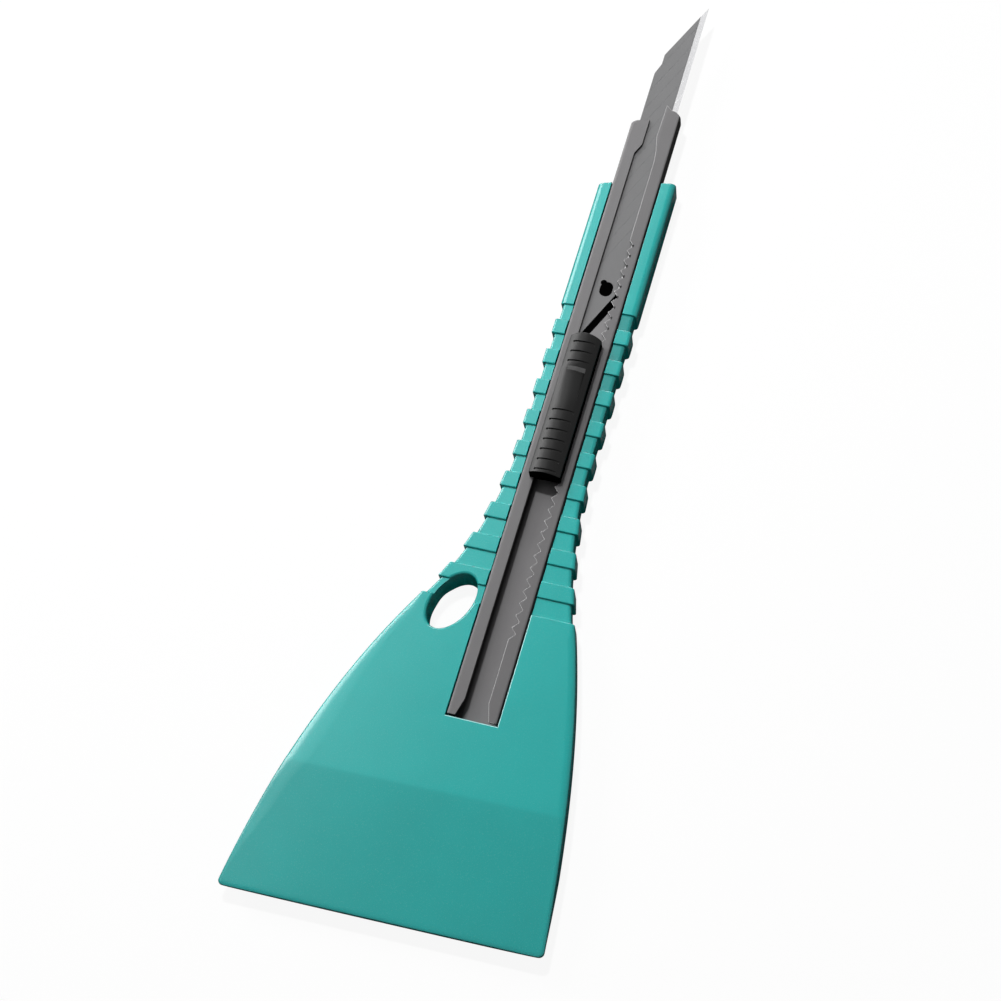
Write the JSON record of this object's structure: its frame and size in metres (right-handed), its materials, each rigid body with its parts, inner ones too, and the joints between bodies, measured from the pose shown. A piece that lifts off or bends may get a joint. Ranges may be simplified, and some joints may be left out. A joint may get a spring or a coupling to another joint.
{
  "type": "extendable blade scraper",
  "caption": "Flared plastic scraper whose banded handle holds a folded steel guide, with a thumb slide that moves a snap-off blade out of the nose.",
  "frame": {"origin": "on the flat back of the handle, under the middle of the guide's rear end", "axes": "+Y along the tool towards the blade's tip, +X to the blade's cutting edge, +Z out of the front face that carries the thumb slide"},
  "size_m": [0.0754, 0.2609, 0.0115],
  "materials": {
    "turquoise_plastic": "satin moulded plastic",
    "guide_steel": "dull rolled sheet",
    "blade_steel": "ground steel with a bright bevel",
    "plate_steel": "dull rolled sheet",
    "black_plastic": "satin moulded plastic",
    "carrier_plastic": "plain moulded plastic",
    "spring_steel": "plain strip"
  },
  "bodies": {
    "handle": {"scraper_body": "turquoise_plastic", "blade_guide": "guide_steel"},
    "slide": {"thumb_slide": "black_plastic", "blade_carrier": "carrier_plastic", "lock_spring": "spring_steel", "snap_blade": "blade_steel", "tail_plate": "plate_steel"}
  },
  "joints": [
    {"name": "blade_slide", "type": "slide", "parent": "handle", "child": "slide", "axis": [0, 1, 0], "range_m": [-0.05634, 0.05008], "deforming": ["lock_spring"]}
  ]
}
